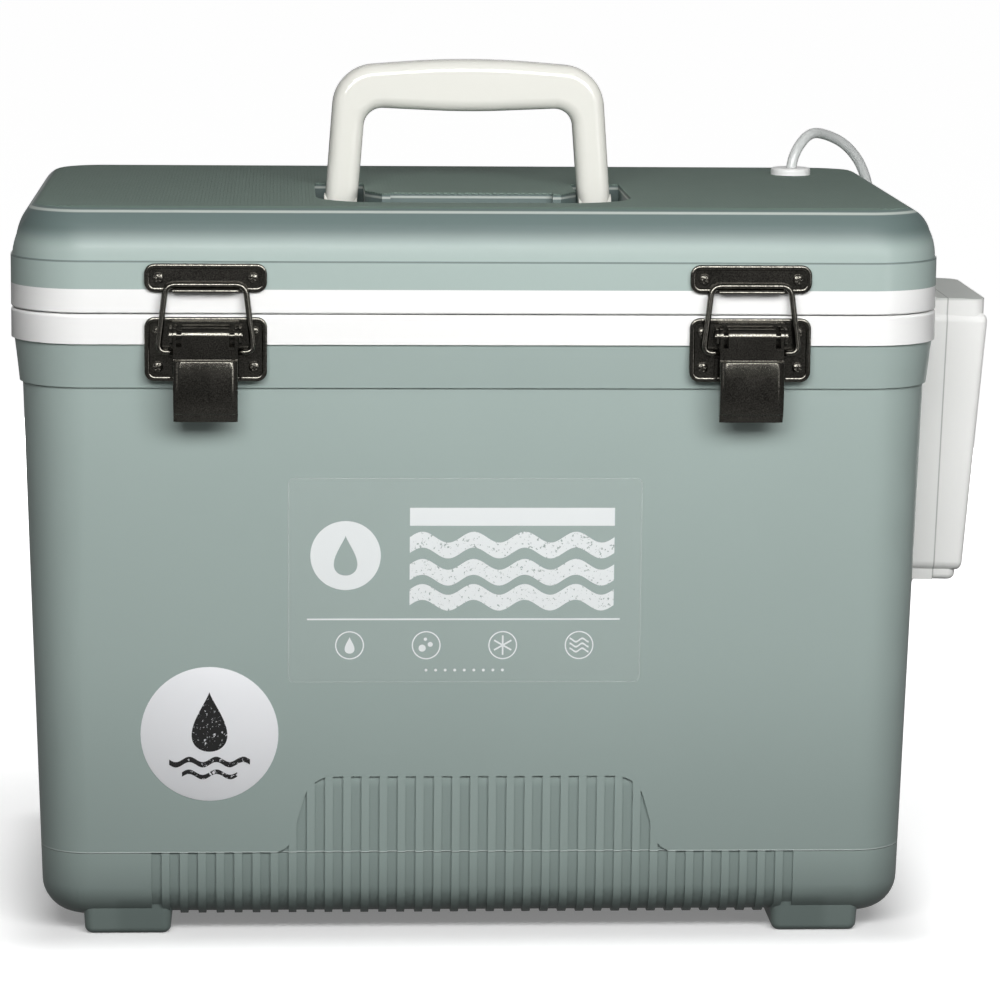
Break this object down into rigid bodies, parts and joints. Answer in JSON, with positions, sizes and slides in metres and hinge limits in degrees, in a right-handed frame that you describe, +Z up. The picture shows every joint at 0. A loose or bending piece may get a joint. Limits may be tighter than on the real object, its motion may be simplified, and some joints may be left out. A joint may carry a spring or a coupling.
{
  "type": "aerated bait bucket",
  "caption": "Insulated box-shaped live-bait bucket with a hinged latching lid, a folding carrying handle and a side-mounted battery air pump whose hose enters the lid.",
  "frame": {"origin": "on the ground, under the middle of the whole object without its hoses", "axes": "+Z up, -Y towards the latched front, +X towards the side that carries the air pump"},
  "size_m": [0.4694, 0.2842, 0.4094],
  "materials": {
    "shell_plastic": "pearl grey-green moulded plastic, satin",
    "white_plastic": "white moulded plastic",
    "handle_plastic": "cream moulded plastic, glossy",
    "foam": "closed-cell foam",
    "latch_metal": "dark antique nickel on pressed steel",
    "steel": "stainless steel",
    "pump_plastic": "white moulded plastic, semi-gloss",
    "bracket_plastic": "grey moulded plastic",
    "rubber": "soft rubber",
    "hose_silicone": "translucent silicone tube",
    "cell_metal": "plain wrapped dry cell",
    "contact_brass": "spring strip",
    "stone": "sintered porous grit"
  },
  "bodies": {
    "tub": {"air_stone": "stone", "base_screws": "latch_metal", "bracket_screws": "steel", "cell_contacts": "contact_brass", "diaphragm": "rubber", "diaphragm_arm": "white_plastic", "hinge_pins": "steel", "inner_hose": "hose_silicone", "left_latch_base": "latch_metal", "left_lever_pin": "latch_metal", "outer_hose": "hose_silicone", "pump_back_case": "pump_plastic", "pump_bracket": "bracket_plastic", "pump_cells": "cell_metal", "pump_cover": "pump_plastic", "pump_head": "white_plastic", "pump_motor": "steel", "right_latch_base": "latch_metal", "right_lever_pin": "latch_metal", "tub_insulation": "foam", "tub_liner": "white_plastic", "tub_shell": "shell_plastic"},
    "lid": {"lid_shell": "shell_plastic", "lid_liner": "white_plastic", "lid_insulation": "foam", "lid_gasket": "rubber", "left_keeper": "latch_metal", "right_keeper": "latch_metal", "keeper_screws": "latch_metal", "hose_grommet": "white_plastic"},
    "handle": {"handle": "handle_plastic", "handle_pins": "steel"},
    "left_lever": {"left_lever": "latch_metal"},
    "right_lever": {"right_lever": "latch_metal"},
    "left_bail": {"left_bail": "latch_metal"},
    "right_bail": {"right_bail": "latch_metal"},
    "pump_slider": {"pump_switch": "bracket_plastic"},
    "pump_rotor": {"motor_shaft": "steel", "eccentric": "white_plastic"}
  },
  "joints": [
    {"name": "lid_hinge", "type": "hinge", "parent": "tub", "child": "lid", "pos_m": [-0.01723, 0.13672, 0.299], "axis": [-1, 0, 0], "range_deg": [0, 100], "deforming": ["outer_hose", "inner_hose"]},
    {"name": "handle_fold", "type": "hinge", "parent": "lid", "child": "handle", "pos_m": [-0.01723, 0.00122, 0.3353], "axis": [1, 0, 0], "range_deg": [0, 90]},
    {"name": "left_latch_lever", "type": "hinge", "parent": "tub", "child": "left_lever", "pos_m": [-0.14323, -0.13378, 0.2897], "axis": [-1, 0, 0], "range_deg": [0, 110]},
    {"name": "left_bail_swing", "type": "hinge", "parent": "left_lever", "child": "left_bail", "pos_m": [-0.14323, -0.13378, 0.2821], "axis": [-1, 0, 0], "range_deg": [-143, 0]},
    {"name": "right_latch_lever", "type": "hinge", "parent": "tub", "child": "right_lever", "pos_m": [0.10877, -0.13378, 0.2897], "axis": [-1, 0, 0], "range_deg": [0, 110]},
    {"name": "right_bail_swing", "type": "hinge", "parent": "right_lever", "child": "right_bail", "pos_m": [0.10877, -0.13378, 0.2821], "axis": [-1, 0, 0], "range_deg": [-143, 0]},
    {"name": "pump_switch_slide", "type": "slide", "parent": "tub", "child": "pump_slider", "axis": [0.0781, 0, 0.9969], "range_m": [0, 0.006]},
    {"name": "pump_spin", "type": "hinge", "parent": "tub", "child": "pump_rotor", "pos_m": [0.21697, -0.02478, 0.23352], "axis": [0.0297, 0, 0.9996], "continuous": true}
  ],
  "couplings": [
    {"joint": "left_bail_swing", "follows": "left_latch_lever", "ratio": -1.3},
    {"joint": "right_bail_swing", "follows": "right_latch_lever", "ratio": -1.3}
  ]
}
